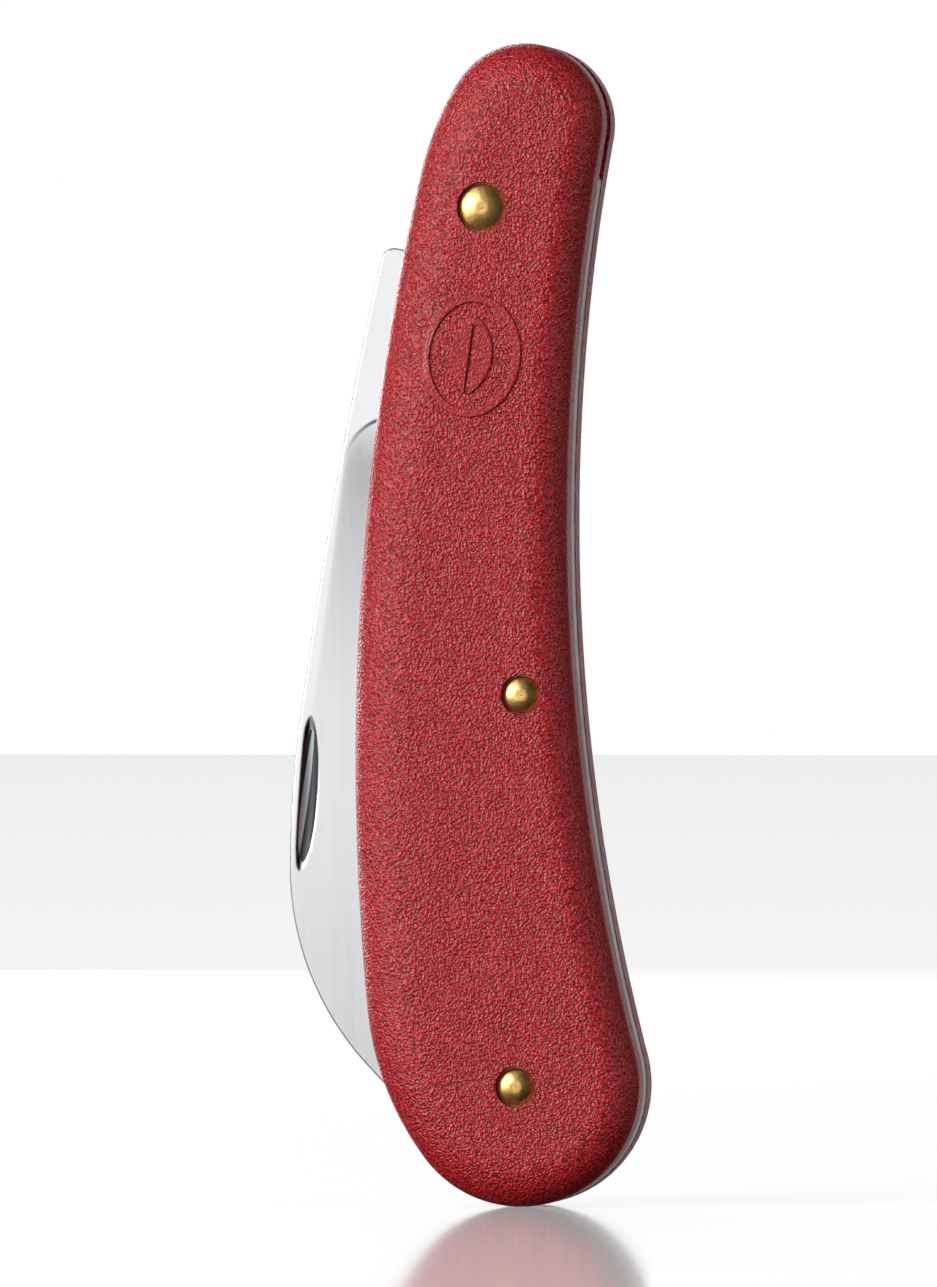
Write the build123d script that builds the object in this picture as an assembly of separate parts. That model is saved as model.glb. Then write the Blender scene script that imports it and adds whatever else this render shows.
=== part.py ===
from build123d import *
from math import acos, asin, atan2, cos, degrees, hypot, radians, sin, sqrt, tan
import os

# A folding garden knife with one curved blade, shown closed and upright, butt down.
# X runs across the handle, from the blade's slot (-) to the back spring (+).
# Y runs through the thickness, from the front, with the emblem and the nail nick, (-) to the back (+).
# Z runs up the closed knife from the bottom of the butt. Millimetres.
# Until the last section, x is counted from the pivot's axis. There the whole knife is moved so that
# its outer box is centred on x = 0.

# Handle, seen from the front
LENGTH = 110.0
TOP_RADIUS = 7.5
TOP_X = 3.6
SHOULDER_RADIUS = 28.0
SHOULDER_DIRECTION = 148.0
BUTT_RADIUS = 11.4
BUTT_X = 3.2
HEEL_RADIUS = 28.0
HEEL_DIRECTION = 37.0
BLADE_SIDE_RADIUS = 248.0
SPRING_SIDE_RADIUS = 200.0

# Handle, through its thickness
THICKNESS = 14.8
STOCK = 2.6
FLANK = 4.0
BLADE_SIDE_ROUND = 5.5
SPRING_SIDE_ROUND = 3.3
ROUND_STEPS = 6
LINER = 0.4
LIP = 1.0

# Rivets: where they are, the shank's diameter, and the diameter of the head at the front and back
PIVOT_BELOW_TOP = 15.6
CENTRE_RIVET_FROM_EDGE = 4.65
CENTRE_RIVET_Z = 48.4
PIVOT_SHANK = 3.0
PIVOT_HEADS = (4.5, 4.5)
FIXED_SHANK = 2.2
FIXED_HEADS = (3.6, 3.3)
HEAD_RIM = 0.35
HEAD_DOME = 0.55
HEAD_BELOW_FACE = 0.05
HEAD_GAP = 0.12
WASHER = 0.4
WASHER_GAP = 0.05
SHANK_GAP = 0.02
PIVOT_CLEARANCE = 0.04

# Blade, in its closed place
BLADE_SIDE_GAP = 0.05
TANG_HALF = 5.5
CAM_LIFT = 0.9
KICK_OUT = 10.25
KICK_BELOW_PIVOT = 3.4
KICK_ROUND = 1.3
SPINE_RADIUS = 514.0
HUMP_RADIUS = 103.0
BELLY_OUT = 19.3
BELLY_Z = 31.9
BELLY_RADIUS = 27.5
BELLY_TURN = 43.0
TIP_Z = 7.8
EDGE_X = 2.2
EDGE_BELOW_PIVOT = 16.4
EDGE_HOLLOW = 2.0
CHOIL = 1.4
TANG_BELOW_PIVOT = 7.0
GRIND_WIDTH = 15.2
GRIND_BELOW_PIVOT = 21.0
GRIND_CORNER = 5.0
EDGE_THICKNESS = 0.25

# Nail nick: a crescent that a round-edged wheel cuts, leaning, into the front of the blade
NICK_LENGTH = 15.2
NICK_WIDTH = 1.8
NICK_DEPTH = 0.55
NICK_SLANT = 28.0
NICK_Z = 38.9
NICK_FROM_SPINE = 0.65

# Back spring
SEAT_GAP = 0.1
STOP_GAP = 0.15
SPRING_EDGE_GAP = 0.05
SPRING_END_ROUND = 0.8
SEAT_BELOW_PIVOT = 6.5
ARM_DEPTH = 4.2
BOSS = 2.7
MIDDLE_DEPTH = 7.2
TAIL_BOSS = 3.7

# Emblem: an oval ring round a leaf, raised on the front scale
EMBLEM_X = -1.0
EMBLEM_Z = 80.4
EMBLEM_WIDTH = 9.4
EMBLEM_HEIGHT = 11.6
EMBLEM_LINE = 0.7
EMBLEM_TILT = 8.0
EMBLEM_RISE = 0.2
LEAF_LENGTH = 7.6
LEAF_WIDTH = 4.0
LEAF_RIB = 0.45

PIVOT_Z = LENGTH - PIVOT_BELOW_TOP
HALF = THICKNESS / 2
INNER = STOCK / 2
BITE = 0.3


def circle_centre(first, first_distance, second, second_distance, side):
    """The point at given distances from two others, to the right (side 1) or left (-1) of first to second."""
    dx, dz = second[0] - first[0], second[1] - first[1]
    apart = hypot(dx, dz)
    along = (apart**2 + first_distance**2 - second_distance**2) / (2 * apart)
    across = side * sqrt(first_distance**2 - along**2)
    return (
        first[0] + (along * dx + across * dz) / apart,
        first[1] + (along * dz - across * dx) / apart,
    )


def beside(point, distance, direction):
    """The point at a distance from another, in a direction in degrees."""
    turn = radians(direction)
    return (point[0] + distance * cos(turn), point[1] + distance * sin(turn))


def heading(start, end):
    """The direction from one point to another, in degrees."""
    return degrees(atan2(end[1] - start[1], end[0] - start[0]))


def arc(centre, radius, start, end):
    """An arc from one direction to another, anticlockwise if the second is larger."""
    return CenterArc(centre, radius, start, end - start)


def handle_circles(blade_side=0.0, spring_side=0.0):
    """The six circles of the handle's outline, with its long sides drawn in by the two amounts."""
    mean = (blade_side + spring_side) / 2
    shift = (blade_side - spring_side) / 2
    top = (TOP_X + shift, LENGTH - TOP_RADIUS)
    butt = (BUTT_X + shift, BUTT_RADIUS)
    shoulder = beside(top, TOP_RADIUS - SHOULDER_RADIUS, SHOULDER_DIRECTION)
    heel = beside(butt, HEEL_RADIUS - BUTT_RADIUS, HEEL_DIRECTION)
    top_r, butt_r, heel_r = TOP_RADIUS - mean, BUTT_RADIUS - mean, HEEL_RADIUS - mean
    shoulder_r = SHOULDER_RADIUS - mean
    blade_r = BLADE_SIDE_RADIUS - blade_side
    spring_r = SPRING_SIDE_RADIUS + spring_side
    back = circle_centre(heel, blade_r - heel_r, shoulder, blade_r - shoulder_r, 1)
    waist = circle_centre(butt, spring_r + butt_r, top, spring_r + top_r, 1)
    return {
        "top": (top, top_r),
        "shoulder": (shoulder, shoulder_r),
        "butt": (butt, butt_r),
        "heel": (heel, heel_r),
        "back": (back, blade_r),
        "waist": (waist, spring_r),
    }


def handle_outline(blade_side=0.0, spring_side=0.0):
    """The handle's outline as one face, drawn in by the two amounts."""
    circles = handle_circles(blade_side, spring_side)
    (top, top_r), (butt, butt_r) = circles["top"], circles["butt"]
    (heel, heel_r), (back, back_r) = circles["heel"], circles["back"]
    (shoulder, shoulder_r), (waist, waist_r) = circles["shoulder"], circles["waist"]
    at_shoulder = heading(back, shoulder)
    at_heel = heading(back, heel) % 360
    at_butt = HEEL_DIRECTION + 180
    waist_low = heading(waist, butt) % 360
    waist_high = heading(waist, top) % 360
    return make_face(
        [
            arc(shoulder, shoulder_r, SHOULDER_DIRECTION, at_shoulder),
            arc(back, back_r, at_shoulder, at_heel),
            arc(heel, heel_r, at_heel, at_butt),
            arc(butt, butt_r, at_butt, waist_low + 180),
            arc(waist, waist_r, waist_low, waist_high),
            arc(top, top_r, waist_high - 180, SHOULDER_DIRECTION),
        ]
    )


def upright(sketch, depth):
    """Stands a sketch of x and z up, that far in front of the middle plane."""
    return Plane.XZ.offset(depth) * sketch


def slab(sketch, start, end):
    """A sketch of x and z as a plate between two depths in front of the middle plane."""
    return extrude(upright(sketch, start), amount=end - start)


def rod(x, z, radius, start, end):
    """A round rod along Y between two depths in front of the middle plane."""
    return slab(Pos(x, z) * Circle(radius), start, end)


def spring_side_x(z):
    """Where the handle's spring side is at a height."""
    (x, centre_z), radius = handle_circles()["waist"]
    return x - sqrt(radius**2 - (z - centre_z) ** 2)


CENTRE_RIVET_X = spring_side_x(CENTRE_RIVET_Z) - CENTRE_RIVET_FROM_EDGE
RIVETS = {
    "pivot": (0.0, PIVOT_Z, PIVOT_SHANK, PIVOT_HEADS),
    "centre": (CENTRE_RIVET_X, CENTRE_RIVET_Z, FIXED_SHANK, FIXED_HEADS),
    "end": (BUTT_X, BUTT_RADIUS, FIXED_SHANK, FIXED_HEADS),
}
WASHER_TOP = HALF - HEAD_BELOW_FACE - HEAD_DOME - HEAD_RIM
SEAT_DEPTH = WASHER_TOP - WASHER


def scale_body():
    """Half of the grip: a flat inner face, an upright flank, and a soft round up to the flat outer face."""
    body = slab(handle_outline(), INNER, FLANK)
    sections = []
    for step in range(ROUND_STEPS + 1):
        turn = radians(90 * step / ROUND_STEPS)
        drawn_in = 1 - cos(turn)
        face = handle_outline(BLADE_SIDE_ROUND * drawn_in, SPRING_SIDE_ROUND * drawn_in)
        sections.append(upright(face, FLANK + (HALF - FLANK) * sin(turn)))
    return body + loft(sections)


def emblem(body):
    """The raised oval and leaf, which follow the face of the scale that they stand on."""
    ring = Ellipse(EMBLEM_WIDTH / 2, EMBLEM_HEIGHT / 2)
    ring -= Ellipse(EMBLEM_WIDTH / 2 - EMBLEM_LINE, EMBLEM_HEIGHT / 2 - EMBLEM_LINE)
    tip = LEAF_LENGTH / 2
    leaf = make_face(
        [
            ThreePointArc((0, -tip), (LEAF_WIDTH / 2, 0), (0, tip)),
            ThreePointArc((0, tip), (-LEAF_WIDTH / 2, 0), (0, -tip)),
        ]
    )
    leaf -= Pos(0, -LEAF_RIB) * Rectangle(LEAF_RIB, LEAF_LENGTH - 2 * LEAF_RIB)
    drawing = Pos(EMBLEM_X, EMBLEM_Z) * Rot(0, 0, -EMBLEM_TILT) * (ring + leaf)
    return slab(drawing, FLANK, HALF + BITE) & Pos(0, -EMBLEM_RISE, 0) * body


def scale(side):
    """One scale, in front of the middle plane: side 0 is the front's and side 1 the back's."""
    body = scale_body()
    if side == 0:
        body += emblem(body)
    body -= slab(handle_outline(LIP, LIP), INNER - BITE, INNER + LINER)
    for x, z, shank, heads in RIVETS.values():
        body -= rod(x, z, shank / 2 + SHANK_GAP, INNER, HALF)
        body -= rod(x, z, heads[side] / 2 + HEAD_GAP, SEAT_DEPTH, HALF + BITE)
    return body


def liner():
    """The thin steel plate let into a scale's inner face."""
    plate = slab(handle_outline(LIP, LIP), INNER, INNER + LINER)
    for x, z, shank, _ in RIVETS.values():
        plate -= rod(x, z, shank / 2 + SHANK_GAP, INNER - BITE, INNER + LINER + BITE)
    return plate


def rivet_head(diameter):
    """A head that stands on z = 0: a short rim and a dome."""
    edge = diameter / 2
    profile = make_face(
        [
            Line((0, 0), (edge, 0)),
            Line((edge, 0), (edge, HEAD_RIM)),
            dome_line(edge),
            Line((0, HEAD_RIM + HEAD_DOME), (0, 0)),
        ]
    )
    return revolve(Plane.XZ * profile, Axis.Z)


def dome_line(edge):
    """The arc from the rim of a head to its crown."""
    radius = (edge**2 + HEAD_DOME**2) / (2 * HEAD_DOME)
    crown = HEAD_RIM + HEAD_DOME
    start = degrees(asin((radius - HEAD_DOME) / radius))
    return CenterArc((0, crown - radius), radius, start, 90 - start)


def rivet(x, z, shank, heads):
    """A brass rivet through the whole handle, with a head in each scale's counterbore."""
    body = rod(x, z, shank / 2, -WASHER_TOP, WASHER_TOP)
    front = Plane(origin=(x, -WASHER_TOP, z), x_dir=(1, 0, 0), z_dir=(0, -1, 0))
    back = Plane(origin=(x, WASHER_TOP, z), x_dir=(1, 0, 0), z_dir=(0, 1, 0))
    return body + front * rivet_head(heads[0]) + back * rivet_head(heads[1])


def washer(x, z, shank, head):
    """The brass ring under a rivet's head, in front of the middle plane."""
    ring = rod(x, z, head / 2 + HEAD_GAP - WASHER_GAP, SEAT_DEPTH, WASHER_TOP)
    return ring - rod(x, z, shank / 2 + WASHER_GAP, SEAT_DEPTH - BITE, WASHER_TOP + BITE)


def spine():
    """The kick's outer corner, the centres of the spine's two arcs, and how far its line leans at the kick."""
    corner = (-KICK_OUT, PIVOT_Z - KICK_BELOW_PIVOT)
    hump = (HUMP_RADIUS - BELLY_OUT, BELLY_Z)
    centre = circle_centre(hump, SPINE_RADIUS - HUMP_RADIUS, corner, SPINE_RADIUS, 1)
    return corner, centre, hump, 180 - heading(centre, corner)


def kick_rise(out, lean):
    """How far the kick's line rises from there to its outer corner."""
    return (KICK_OUT - out) * tan(radians(lean))


def blade_outline():
    """The blade and its tang as one face."""
    corner, centre, hump, lean = spine()
    inner_corner = (-TANG_HALF, corner[1] - kick_rise(TANG_HALF, lean))
    joint = heading(centre, hump)
    belly = arc((BELLY_RADIUS - BELLY_OUT, BELLY_Z), BELLY_RADIUS, 180, 180 + BELLY_TURN)
    low = belly @ 1
    tip = (tip_x(), TIP_Z)
    heel = (EDGE_X, PIVOT_Z - EDGE_BELOW_PIVOT)
    choil = (EDGE_X + CHOIL, heel[1] + CHOIL)
    tang_low = (TANG_HALF, PIVOT_Z - TANG_BELOW_PIVOT)
    cam_radius = TANG_HALF + CAM_LIFT
    cam_start = degrees(acos(TANG_HALF / cam_radius))
    cam = arc((0, PIVOT_Z), cam_radius, cam_start, 180 - cam_start)
    face = make_face(
        [
            Line(inner_corner, corner),
            arc(centre, SPINE_RADIUS, 180 - lean, joint),
            arc(hump, HUMP_RADIUS, joint, 180),
            belly,
            Line(low, tip),
            SagittaArc(tip, heel, EDGE_HOLLOW),
            Line(heel, choil),
            Line(choil, tang_low),
            Line(tang_low, cam @ 0),
            cam,
            Line(cam @ 1, inner_corner),
        ]
    )
    outer = face.vertices().sort_by_distance((corner[0], corner[1], 0))[0]
    return fillet(outer, KICK_ROUND)


def tip_x():
    """Where the blade's tip is."""
    turn = radians(BELLY_TURN)
    low_x = BELLY_RADIUS * (1 - cos(turn)) - BELLY_OUT
    low_z = BELLY_Z - BELLY_RADIUS * sin(turn)
    return low_x + (low_z - TIP_Z) * tan(turn)


def grind(half):
    """What is ground off the front of the blade, so that it thins evenly from a line to the edge."""
    heel = (EDGE_X, PIVOT_Z - EDGE_BELOW_PIVOT)
    along = heading(heel, (tip_x(), TIP_Z))
    slope = degrees(atan2(half - EDGE_THICKNESS / 2, GRIND_WIDTH))
    length, width, height = LENGTH, 2 * GRIND_WIDTH, THICKNESS
    block = Box(length, width, height, align=(Align.MIN, Align.MIN, Align.MIN))
    block = fillet(block.edges().filter_by(Axis.Z).group_by(Axis.X)[0].sort_by(Axis.Y)[0], GRIND_CORNER)
    down = Vector(cos(radians(along)), 0, sin(radians(along)))
    across = Vector(-sin(radians(along)), 0, cos(radians(along)))
    start_z = PIVOT_Z - GRIND_BELOW_PIVOT
    start_x = heel[0] + (heel[1] - start_z) * down.X / -down.Z
    start = Vector(start_x, -half, start_z) - across * GRIND_WIDTH
    place = Plane(origin=start, x_dir=down, z_dir=(0, -1, 0))
    return place * (Rot(-slope, 0, 0) * block)


def nick(half):
    """What the wheel takes out of the front of the blade for the nail nick."""
    _, _, hump, _ = spine()
    slant = radians(NICK_SLANT)
    edge = ((NICK_WIDTH / 2) ** 2 + NICK_DEPTH**2) / (2 * NICK_DEPTH)
    drop = NICK_DEPTH / cos(slant)
    wheel = ((NICK_LENGTH / 2) ** 2 + drop**2) / (2 * drop)
    spine_x = hump[0] - sqrt(HUMP_RADIUS**2 - (NICK_Z - hump[1]) ** 2)
    tilt = asin((NICK_Z - hump[1]) / HUMP_RADIUS)
    along = Vector(sin(tilt), 0, cos(tilt))
    inward = Vector(cos(tilt), 0, -sin(tilt))
    out = Vector(0, -1, 0)
    middle = Vector(spine_x, -half, NICK_Z) + inward * (NICK_FROM_SPINE + NICK_WIDTH / 2)
    down = inward * sin(slant) - out * cos(slant)
    hub = middle + out * (edge - NICK_DEPTH) - down * wheel
    return Plane(origin=hub, x_dir=along, z_dir=along.cross(down)) * Torus(wheel, edge)


def blade():
    """The blade: ground on both sides, bored for the pivot, with the nail nick in its front."""
    half = INNER - BLADE_SIDE_GAP
    body = slab(blade_outline(), -half, half)
    body -= rod(0, PIVOT_Z, PIVOT_SHANK / 2 + PIVOT_CLEARANCE, -THICKNESS, THICKNESS)
    front = grind(half)
    body -= front
    body -= mirror(front, about=Plane.XZ)
    return body - nick(half)


def back_spring():
    """The spring along the handle's concave side, held by the centre and end rivets."""
    _, _, _, lean = spine()
    seat = TANG_HALF + SEAT_GAP
    middle_high = (PIVOT_Z - SEAT_BELOW_PIVOT + CENTRE_RIVET_Z) / 2
    middle_low = (CENTRE_RIVET_Z + BUTT_RADIUS) / 2
    seat_low = (seat, PIVOT_Z - SEAT_BELOW_PIVOT)
    tail = (BUTT_X - TAIL_BOSS, BUTT_RADIUS)
    inner_edge = Spline(
        seat_low,
        (spring_side_x(middle_high) - ARM_DEPTH, middle_high),
        (CENTRE_RIVET_X - BOSS, CENTRE_RIVET_Z),
        (spring_side_x(middle_low) - MIDDLE_DEPTH, middle_low),
        tail,
        tangents=[(0, -1), (0, -1)],
    )
    end_z = PIVOT_Z + KICK_BELOW_PIVOT - STOP_GAP
    end_inner = (seat, end_z + kick_rise(seat, lean))
    end_outer = (LENGTH, end_z + kick_rise(LENGTH, lean))
    below = -BUTT_RADIUS
    region = make_face(
        [
            Line(end_inner, seat_low),
            inner_edge,
            Line(tail, (tail[0], below)),
            Line((tail[0], below), (LENGTH, below)),
            Line((LENGTH, below), end_outer),
            Line(end_outer, end_inner),
        ]
    )
    face = handle_outline(SPRING_EDGE_GAP, SPRING_EDGE_GAP) & region
    corner = face.vertices().sort_by_distance((KICK_OUT, end_z, 0))[0]
    body = slab(fillet(corner, SPRING_END_ROUND), -INNER, INNER)
    for name in ("centre", "end"):
        x, z, shank, _ = RIVETS[name]
        body -= rod(x, z, shank / 2 + SHANK_GAP, -THICKNESS, THICKNESS)
    return body


def knife():
    """Every piece by name, with x from the pivot's axis."""
    pieces = {
        "front_scale": scale(0),
        "back_scale": mirror(scale(1), about=Plane.XZ),
        "front_liner": liner(),
        "back_liner": mirror(liner(), about=Plane.XZ),
        "blade": blade(),
        "back_spring": back_spring(),
    }
    for name, (x, z, shank, heads) in RIVETS.items():
        pieces[f"{name}_rivet"] = rivet(x, z, shank, heads)
        pieces[f"{name}_washer_front"] = washer(x, z, shank, heads[0])
        pieces[f"{name}_washer_back"] = mirror(washer(x, z, shank, heads[1]), about=Plane.XZ)
    return pieces


pieces = knife()
box = Compound(children=[*pieces["front_scale"].solids(), *pieces["blade"].solids()]).bounding_box()
centring = Pos(-box.center().X, 0, 0)
os.makedirs("parts", exist_ok=True)
for name, piece in pieces.items():
    export_step(centring * piece, f"parts/{name}.step")
print(f"pivot axis at x {-box.center().X:.3f}, z {PIVOT_Z:.3f}")
print(f"centre rivet at x {CENTRE_RIVET_X - box.center().X:.3f}, z {CENTRE_RIVET_Z:.3f}")
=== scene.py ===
import math

import bmesh
import bpy
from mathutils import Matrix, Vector

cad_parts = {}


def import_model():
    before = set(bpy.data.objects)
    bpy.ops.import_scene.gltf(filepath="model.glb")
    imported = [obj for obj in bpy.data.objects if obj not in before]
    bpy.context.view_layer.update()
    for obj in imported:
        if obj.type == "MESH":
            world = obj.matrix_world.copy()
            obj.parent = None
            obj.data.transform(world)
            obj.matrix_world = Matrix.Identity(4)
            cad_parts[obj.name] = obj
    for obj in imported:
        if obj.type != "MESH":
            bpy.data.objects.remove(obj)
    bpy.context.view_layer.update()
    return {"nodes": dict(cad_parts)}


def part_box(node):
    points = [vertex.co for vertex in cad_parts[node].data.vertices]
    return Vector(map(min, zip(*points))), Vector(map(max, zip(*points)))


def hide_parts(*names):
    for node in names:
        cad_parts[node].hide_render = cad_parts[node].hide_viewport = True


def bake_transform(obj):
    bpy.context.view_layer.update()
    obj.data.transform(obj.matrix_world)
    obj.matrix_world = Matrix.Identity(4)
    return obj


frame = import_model()
NODES = frame["nodes"]
MM = 0.001


# ---------------------------------------------------------------- node helpers
class Value:
    """A number that a shader works out at each point. Sums on it add the maths nodes."""

    def __init__(self, socket):
        self.socket = socket
        self.tree = socket.id_data

    def __add__(self, other):
        return maths(self.tree, "ADD", self, other)

    def __sub__(self, other):
        return maths(self.tree, "SUBTRACT", self, other)

    def __rsub__(self, other):
        return maths(self.tree, "SUBTRACT", other, self)

    def __mul__(self, other):
        return maths(self.tree, "MULTIPLY", self, other)

    def __truediv__(self, other):
        return maths(self.tree, "DIVIDE", self, other)

    def __neg__(self):
        return self * -1.0

    def __abs__(self):
        return maths(self.tree, "ABSOLUTE", self)

    def __lt__(self, other):
        return maths(self.tree, "LESS_THAN", self, other)

    def at_least(self, other):
        return maths(self.tree, "MAXIMUM", self, other)

    def at_most(self, other):
        return maths(self.tree, "MINIMUM", self, other)

    def root(self):
        return maths(self.tree, "SQRT", self)

    def step(self, low, high):
        """0 below low, 1 above high, and an even curve between."""
        inputs = {"Value": self, "From Min": low, "From Max": high}
        node = add(self.tree, "ShaderNodeMapRange", inputs, interpolation_type="SMOOTHSTEP")
        return Value(node.outputs["Result"])

    def ramp(self, *stops):
        """A colour ramp from (position, grey or colour) stops."""
        node = add(self.tree, "ShaderNodeValToRGB", {"Fac": self})
        elements = node.color_ramp.elements
        while len(elements) < len(stops):
            elements.new(0.5)
        for element, (position, colour) in zip(elements, stops):
            element.position = position
            element.color = (colour, colour, colour, 1) if isinstance(colour, float) else (*colour, 1)
        return Value(node.outputs["Color"])


def connect(value, socket):
    """Links a value or a node's output to a socket, or sets a plain number or colour on it."""
    if isinstance(value, Value):
        value = value.socket
    if isinstance(value, bpy.types.NodeSocket):
        socket.id_data.links.new(value, socket)
    else:
        socket.default_value = value


def fill_in(node, inputs):
    for key, value in inputs.items():
        connect(value, node.inputs[key])


def add(tree, kind, inputs=None, **settings):
    """Adds a node with its settings and its inputs."""
    node = tree.nodes.new(kind)
    for key, value in settings.items():
        setattr(node, key, value)
    fill_in(node, inputs or {})
    return node


def maths(tree, operation, *values):
    return Value(add(tree, "ShaderNodeMath", dict(enumerate(values)), operation=operation).outputs[0])


def new_material(name):
    material = bpy.data.materials.new(name)
    material.use_nodes = True
    tree = material.node_tree
    return material, tree, tree.nodes["Principled BSDF"]


def metres(tree):
    return add(tree, "ShaderNodeTexCoord").outputs["Object"]


def coordinates(vector):
    """The X, Y and Z of a vector."""
    outputs = add(vector.id_data, "ShaderNodeSeparateXYZ", {"Vector": vector}).outputs
    return [Value(outputs[axis]) for axis in "XYZ"]


def noise(where, scale, detail=2.0, roughness=0.5, stretch=None):
    tree = where.id_data
    if stretch:
        where = add(tree, "ShaderNodeMapping", {"Vector": where, "Scale": stretch}).outputs["Vector"]
    inputs = {"Vector": where, "Scale": scale, "Detail": detail, "Roughness": roughness}
    return Value(add(tree, "ShaderNodeTexNoise", inputs).outputs["Fac"])


def bump(height, distance, normal=None):
    inputs = {"Height": height, "Distance": distance, "Strength": 1.0}
    if normal is not None:
        inputs["Normal"] = normal
    return add(height.tree, "ShaderNodeBump", inputs).outputs["Normal"]


def rounded(tree, radius, samples):
    """The surface's normal, with its corners rounded off."""
    return add(tree, "ShaderNodeBevel", {"Radius": radius}, samples=samples).outputs["Normal"]


def lay_over(shader, mask, inputs):
    """Puts new values over a shader's own where the mask is 1."""
    for name, value in inputs.items():
        socket = shader.inputs[name]
        own = socket.links[0].from_socket if socket.links else socket.default_value
        kind, first, second, result = ("RGBA", 6, 7, 2) if socket.type == "RGBA" else ("FLOAT", 2, 3, 0)
        mix = add(mask.tree, "ShaderNodeMix", {0: mask, first: own, second: value}, data_type=kind)
        connect(mix.outputs[result], socket)


# ---------------------------------------------------------------- nylon
EMBLEM_FOOT, EMBLEM_TOP = 7.43 * MM, 7.50 * MM  # distances in front of the knife's middle plane


def red_nylon():
    """Dyed nylon from a spark-eroded mould: a fine hard speckle, polished down on the raised emblem. The
    speckle's colour is painted: darker where the surface dips, as painted shade, and lighter where it rises,
    as painted glints.
    """
    material, tree, shader = new_material("red_nylon_grained")
    where = metres(tree)
    speckle = noise(where, 4300.0, detail=0.0) * 0.7 + noise(where, 8000.0, detail=0.0) * 0.3
    clouds = noise(where, 140.0, detail=3.0)
    _, y, _ = coordinates(where)
    raised = (-y).step(EMBLEM_FOOT, EMBLEM_TOP)
    grain = (speckle - 0.5) * (1.0 - raised * 0.65)
    speckle_shade_and_tone = grain + clouds * 0.08 + 0.5
    # Painted shade where the speckle dips and painted glints where it rises; the clouds add a faint random
    # colour change.
    pit_shade, bump_glint = (0.185, 0.004, 0.006), (0.62, 0.026, 0.032)
    inputs = {
        "Base Color": speckle_shade_and_tone.ramp((0.40, pit_shade), (0.70, bump_glint)),
        "Roughness": clouds.ramp((0.3, 0.28), (0.7, 0.34)),
        "Normal": bump(grain, 0.21 * MM, rounded(tree, 0.16 * MM, samples=4)),
        "IOR": 1.5,
        "Specular IOR Level": 0.43,
    }
    fill_in(shader, inputs)
    return material


# ---------------------------------------------------------------- steel
# Painted shade of a face by how squarely it faces front or back: 0 is an edge, and 1 a flat side. The blade's
# corners get thin painted dark lines; the other pieces' corners stay light and their slopes get painted
# shade.
PAINTED_EDGE_SHADE = ((0.0, 0.50), (0.45, 0.30), (0.80, 0.05), (0.95, 0.10), (0.992, 1.0))
PAINTED_SLOPE_SHADE = ((0.0, 1.0), (0.30, 0.9), (0.70, 0.30), (0.95, 0.8))


def steel(name, colour, rough, stretch, line_depth, rounding, painted_shade, grind=None):
    """Steel with fine lines along the piece, faint clouds, broken corners, and painted shade set by how
    squarely each face turns to front or back.
    """
    material, tree, shader = new_material(name)
    where = metres(tree)
    lines = noise(where, 900.0, detail=3.0, roughness=0.6, stretch=stretch)
    clouds = noise(where, 120.0, detail=3.0)
    broken = rounded(tree, rounding, samples=6)
    normal = bump(lines, line_depth, broken)
    if grind:
        normal = bump(grind(where), 1.0, normal)

    spaces = {"vector_type": "NORMAL", "convert_from": "WORLD", "convert_to": "OBJECT"}
    turned = add(tree, "ShaderNodeVectorTransform", {"Vector": broken}, **spaces).outputs["Vector"]
    _, squareness, _ = coordinates(turned)
    darker = tuple(channel * 0.95 for channel in colour)
    # The base colour is multiplied by painted shade read off how squarely the face turns to front or back.
    layers = {0: 1.0, 6: clouds.ramp((0.3, darker), (0.7, colour)), 7: abs(squareness).ramp(*painted_shade)}
    toned_and_shaded = add(tree, "ShaderNodeMix", layers, data_type="RGBA", blend_type="MULTIPLY").outputs[2]
    inputs = {
        "Base Color": toned_and_shaded,
        "Roughness": ((lines + clouds) * 0.5).ramp((0.3, rough[0]), (0.7, rough[1])),
        "Normal": normal,
        "Metallic": 1.0,
    }
    fill_in(shader, inputs)
    return material


BACK_LEAN = math.radians(7.4)  # of the blade's straight back, from upright


def from_point(where, point):
    """Distances from an (x, z) point of the blade: across its back and into it, and up along it."""
    x, _, z = coordinates(where)
    x, z = x - point[0], z - point[1]
    cos, sin = math.cos(BACK_LEAN), math.sin(BACK_LEAN)
    return x * cos - z * sin, x * sin + z * cos


GRIND_CORNER = (-11.13 * MM, 75.36 * MM)  # where the ground side's two border lines would meet
GRIND_CORNER_RADIUS = 5.0 * MM
GRIND_BORDER = 0.4 * MM  # how softly the slope sets in
GRIND_STEEPEST = 0.05
GRIND_TOP = 100 * MM
# Shares of the steepest slope, by height as a share of GRIND_TOP
GRIND_SLOPES = (
    (0.10, 0.55),
    (0.23, 0.45),
    (0.38, 0.27),
    (0.47, 0.27),
    (0.59, 0.56),
    (0.69, 0.80),
    (0.75, 0.80),
)


def blade_grind(where):
    """The ground side isn't quite flat: past a soft line near the back its slope changes with height."""
    across, along = from_point(where, GRIND_CORNER)
    into, down = across - GRIND_CORNER_RADIUS, -along - GRIND_CORNER_RADIUS
    short, low = (-into).at_least(0.0), (-down).at_least(0.0)
    round_corner = GRIND_CORNER_RADIUS - (short * short + low * low).root()
    distance = round_corner + into.at_most(down).at_least(0.0)
    ramped = distance + (distance * distance + GRIND_BORDER**2).root()
    _, _, z = coordinates(where)
    slope = (z / GRIND_TOP).ramp(*GRIND_SLOPES)
    return ramped * (-GRIND_STEEPEST / 2) * slope


NICK_MIDDLE = (-15.19 * MM, 38.8 * MM)
NICK_HALF_LENGTH = 7.9 * MM
NICK_HIGHLIGHT_OFF = 0.34 * MM  # from the nick's middle line towards the back
NICK_HIGHLIGHT_HALF = 0.30 * MM


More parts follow.
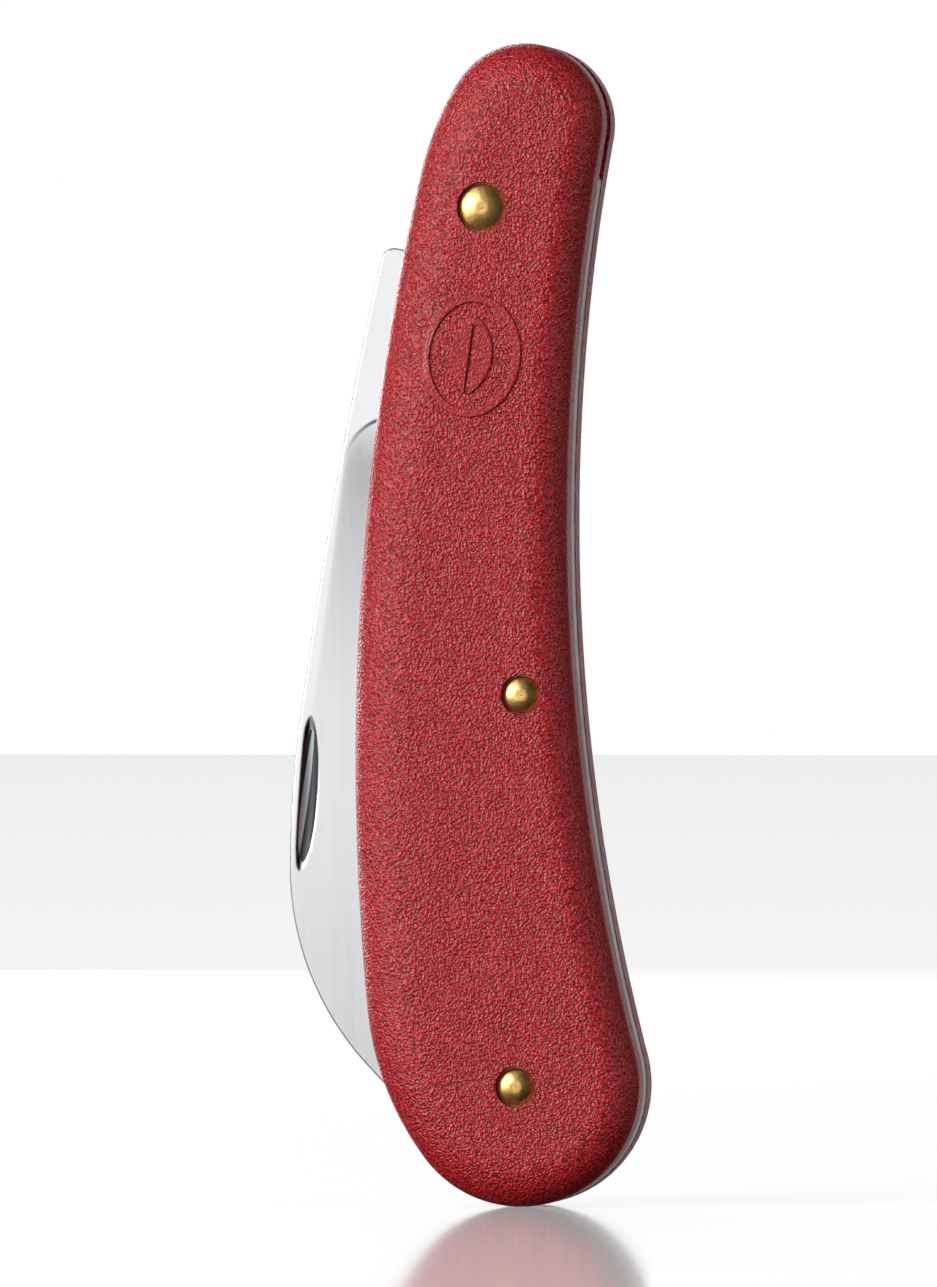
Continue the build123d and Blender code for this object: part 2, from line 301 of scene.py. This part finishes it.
def paint_nick_shade_and_highlight(material):
    """The nail nick gets near-black painted shade, with a painted highlight streak from tip to tip, and a
    rougher, less metallic surface.
    """
    where = metres(material.node_tree)
    across, along = from_point(where, NICK_MIDDLE)
    _, y, _ = coordinates(where)
    share = along / NICK_HALF_LENGTH
    below_side = y.step(-1.10 * MM, -1.06 * MM)
    beside_line = 1.0 - abs(across).step(0.96 * MM, 1.00 * MM)
    cut = below_side * beside_line * (abs(share) < 1.0) * (y < 0.0)

    half_width = (1.0 - share * share).at_least(0.0) * NICK_HIGHLIGHT_HALF
    streak = (half_width - abs(across + NICK_HIGHLIGHT_OFF)).step(-0.04 * MM, 0.05 * MM)
    # Painted shade over the nick, and a painted highlight along its streak.
    nick_shade, nick_highlight = (0.020, 0.024, 0.027), (0.46, 0.50, 0.53)
    shade_and_highlight = streak.ramp((0.0, nick_shade), (1.0, nick_highlight))
    shader = material.node_tree.nodes["Principled BSDF"]
    lay_over(shader, cut, {"Base Color": shade_and_highlight, "Roughness": 0.5, "Metallic": 0.2})


# ---------------------------------------------------------------- brass
def brass(name, rivet=None):
    """Brass, with a faint hammer mark in the middle of a rivet's head."""
    material, tree, shader = new_material(name)
    where = metres(tree)
    clouds = noise(where, 700.0)
    scratches = noise(where, 2500.0, detail=3.0, roughness=0.6, stretch=(1.0, 1.0, 4.0))
    normal = bump(clouds, 0.05 * MM)
    if rivet:
        low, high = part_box(rivet)
        x, _, z = coordinates(where)
        x, z = x - (low.x + high.x) / 2, z - (low.z + high.z) / 2
        mark = (x * x + z * z).root().step(0.1 * MM, 0.7 * MM)
        normal = bump(mark, 0.04 * MM, normal)
    inputs = {
        "Base Color": clouds.ramp((0.3, (0.56, 0.33, 0.10)), (0.7, (0.76, 0.48, 0.17))),
        "Roughness": scratches.ramp((0.3, 0.30), (0.7, 0.40)),
        "Normal": normal,
        "Metallic": 1.0,
    }
    fill_in(shader, inputs)
    return material


# ---------------------------------------------------------------- the CAD nodes' materials
def paint(data, material):
    """Gives a mesh its one material."""
    data.materials.clear()
    data.materials.append(material)


NYLON = red_nylon()
BLADE_STEEL = steel(
    "blade_steel",
    colour=(0.88, 0.89, 0.905),
    rough=(0.10, 0.16),
    stretch=(1.0, 1.0, 0.05),
    line_depth=0.002 * MM,
    rounding=0.3 * MM,
    painted_shade=PAINTED_EDGE_SHADE,
    grind=blade_grind,
)
paint_nick_shade_and_highlight(BLADE_STEEL)
SPRING_STEEL = steel(
    "spring_steel",
    colour=(0.80, 0.77, 0.80),
    rough=(0.26, 0.38),
    stretch=(1.0, 1.0, 0.04),
    line_depth=0.003 * MM,
    rounding=0.12 * MM,
    painted_shade=PAINTED_SLOPE_SHADE,
)
LINER_STEEL = steel(
    "liner_steel",
    colour=(0.60, 0.60, 0.61),
    rough=(0.28, 0.42),
    stretch=(0.06, 1.0, 1.0),
    line_depth=0.003 * MM,
    rounding=0.04 * MM,
    painted_shade=PAINTED_SLOPE_SHADE,
)
WASHER_BRASS = brass("washer_brass")

paint(NODES["blade"].data, BLADE_STEEL)
for side in ("front", "back"):
    paint(NODES[f"{side}_scale"].data, NYLON)
    paint(NODES[f"{side}_liner"].data, LINER_STEEL)
for place in ("pivot", "centre", "end"):
    rivet = f"{place}_rivet"
    paint(NODES[rivet].data, brass(f"{rivet}_brass", rivet))
    for side in ("front", "back"):
        paint(NODES[f"{place}_washer_{side}"].data, WASHER_BRASS)


# ---------------------------------------------------------------- the back spring, cut into short lengths
SPRING_CUT_SPACING = 1.5
SPRING_CUTS = 65


def bending_spring():
    """The spring cut into short lengths, so that its arm could bend from the centre rivet as the tang lifts
    it; nothing here bends it.
    """
    piece = bpy.data.objects.new("back_spring_bending", NODES["back_spring"].data.copy())
    bpy.context.scene.collection.objects.link(piece)
    mesh = bmesh.new()
    mesh.from_mesh(piece.data)
    bmesh.ops.remove_doubles(mesh, verts=mesh.verts, dist=1e-6)
    bmesh.ops.dissolve_limit(mesh, angle_limit=math.radians(0.2), verts=mesh.verts, edges=mesh.edges)
    for cut in range(1, SPRING_CUTS + 1):
        everything = mesh.verts[:] + mesh.edges[:] + mesh.faces[:]
        level = (0, 0, cut * SPRING_CUT_SPACING * MM)
        bmesh.ops.bisect_plane(mesh, geom=everything, dist=1e-7, plane_co=level, plane_no=(0, 0, 1))
    mesh.to_mesh(piece.data)
    mesh.free()
    piece.data.shade_smooth()
    piece.data.set_sharp_from_angle(angle=math.radians(30))
    paint(piece.data, SPRING_STEEL)
    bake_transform(piece)
    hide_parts("back_spring")


bending_spring()


# ---------------------------------------------------------------- stage
def floor():
    """A glossy pale sheet, bright enough to meet the white background without a line."""
    bpy.ops.mesh.primitive_plane_add(size=12.0, location=(0, 0, 0))
    ground = bpy.context.object
    ground.name = "floor"
    ground.visible_diffuse = ground.visible_glossy = False
    material, tree, shader = new_material("floor_pale_sheet")
    tree.nodes.remove(shader)
    matt = add(tree, "ShaderNodeBsdfDiffuse", {"Color": (0.6, 0.6, 0.6, 1)})
    glow = add(tree, "ShaderNodeEmission", {"Strength": 0.62})
    pale = add(tree, "ShaderNodeAddShader", {0: matt.outputs[0], 1: glow.outputs[0]})
    gloss = add(tree, "ShaderNodeBsdfGlossy", {"Color": (1, 1, 1, 1), "Roughness": 0.07})
    gloss_share = Value(add(tree, "ShaderNodeFresnel", {"IOR": 1.45}).outputs[0]) * 0.85
    mixed = add(tree, "ShaderNodeMixShader", {0: gloss_share, 1: pale.outputs[0], 2: gloss.outputs[0]})
    connect(mixed.outputs[0], tree.nodes["Material Output"].inputs["Surface"])
    paint(ground.data, material)


# What a glossy surface sees round the studio: degrees to the right from the front, and brightness
PANELS = (
    (-180, 0.98),
    (-163, 0.98),
    (-150, 0.75),
    (-125, 0.55),
    (-110, 0.30),
    (-98, 0.02),
    (-70, 0.02),
    (-58, 0.90),
    (-50, 1.00),
    (1.5, 1.00),
    (7, 0.06),
    (46, 0.02),
    (58, 0.80),
    (84, 0.80),
    (95, 0.14),
    (163, 0.06),
    (171, 0.50),
    (178, 0.98),
)
# Brightness by height, from 0 straight below through 0.5 level to 1 straight above
PANELS_BY_HEIGHT = ((0.34, 0.06), (0.46, 1.0), (0.57, 1.0), (0.72, 0.20))
FILL_BY_HEIGHT = ((0.40, 0.04), (0.52, 0.30), (0.70, 0.28), (0.95, 0.12))


def world():
    """White to the eye, a soft grey fill, and white and black panels round the studio for reflections."""
    scene_world = bpy.data.worlds.new("studio")
    bpy.context.scene.world = scene_world
    scene_world.use_nodes = True
    tree = scene_world.node_tree
    x, y, z = coordinates(add(tree, "ShaderNodeTexCoord").outputs["Generated"])
    way_round = maths(tree, "ARCTAN2", x, -y) / (2 * math.pi) + 0.5
    height = z * 0.5 + 0.5
    panels = way_round.ramp(*(((degrees + 180) / 360, brightness) for degrees, brightness in PANELS))
    rays = add(tree, "ShaderNodeLightPath").outputs
    seen, glossy = Value(rays["Is Camera Ray"]), Value(rays["Is Glossy Ray"])
    other = (1.0 - (seen + glossy)).at_least(0.0)
    reflected = panels * height.ramp(*PANELS_BY_HEIGHT)
    strength = seen + glossy * reflected + other * height.ramp(*FILL_BY_HEIGHT)
    fill_in(tree.nodes["Background"], {"Color": (1, 1, 1, 1), "Strength": strength})


KNIFE_MIDDLE = Vector((0, 0, 55 * MM))


def softbox(name, azimuth, elevation, distance, size, power):
    """An area light that points at the knife: azimuth 0 is in front of it, and 90 at its right."""
    turn, lift = math.radians(azimuth), math.radians(elevation)
    away = Vector((math.sin(turn) * math.cos(lift), -math.cos(turn) * math.cos(lift), math.sin(lift)))
    lamp = bpy.data.lights.new(name, "AREA")
    lamp.shape = "RECTANGLE"
    lamp.size, lamp.size_y = size
    lamp.energy = power
    thing = bpy.data.objects.new(name, lamp)
    thing.location = KNIFE_MIDDLE + away * distance
    thing.rotation_euler = (-away).to_track_quat("-Z", "Y").to_euler()
    bpy.context.scene.collection.objects.link(thing)


def camera():
    """Level with the middle of the picture, 8.5 degrees round to the knife's right, with a long lens."""
    picture_height = 0.12205
    level = 0.05325
    distance = 1.5
    turn = math.radians(8.5)
    data = bpy.data.cameras.new("camera")
    data.sensor_fit = "VERTICAL"
    data.sensor_height = 24.0
    data.lens = data.sensor_height * distance / picture_height
    data.clip_start, data.clip_end = 0.05, 30.0
    thing = bpy.data.objects.new("camera", data)
    thing.location = (distance * math.sin(turn), -distance * math.cos(turn), level)
    thing.rotation_euler = (math.radians(90), 0, turn)
    bpy.context.scene.collection.objects.link(thing)
    bpy.context.scene.camera = thing


floor()
world()
softbox("key", azimuth=-43, elevation=15, distance=0.9, size=(0.6, 0.5), power=9.2)
softbox("right_fill", azimuth=75, elevation=15, distance=0.9, size=(0.25, 0.6), power=1.2)
softbox("back_light", azimuth=-155, elevation=15, distance=1.0, size=(0.5, 0.7), power=5.5)
camera()
bpy.context.scene.view_settings.view_transform = "Standard"
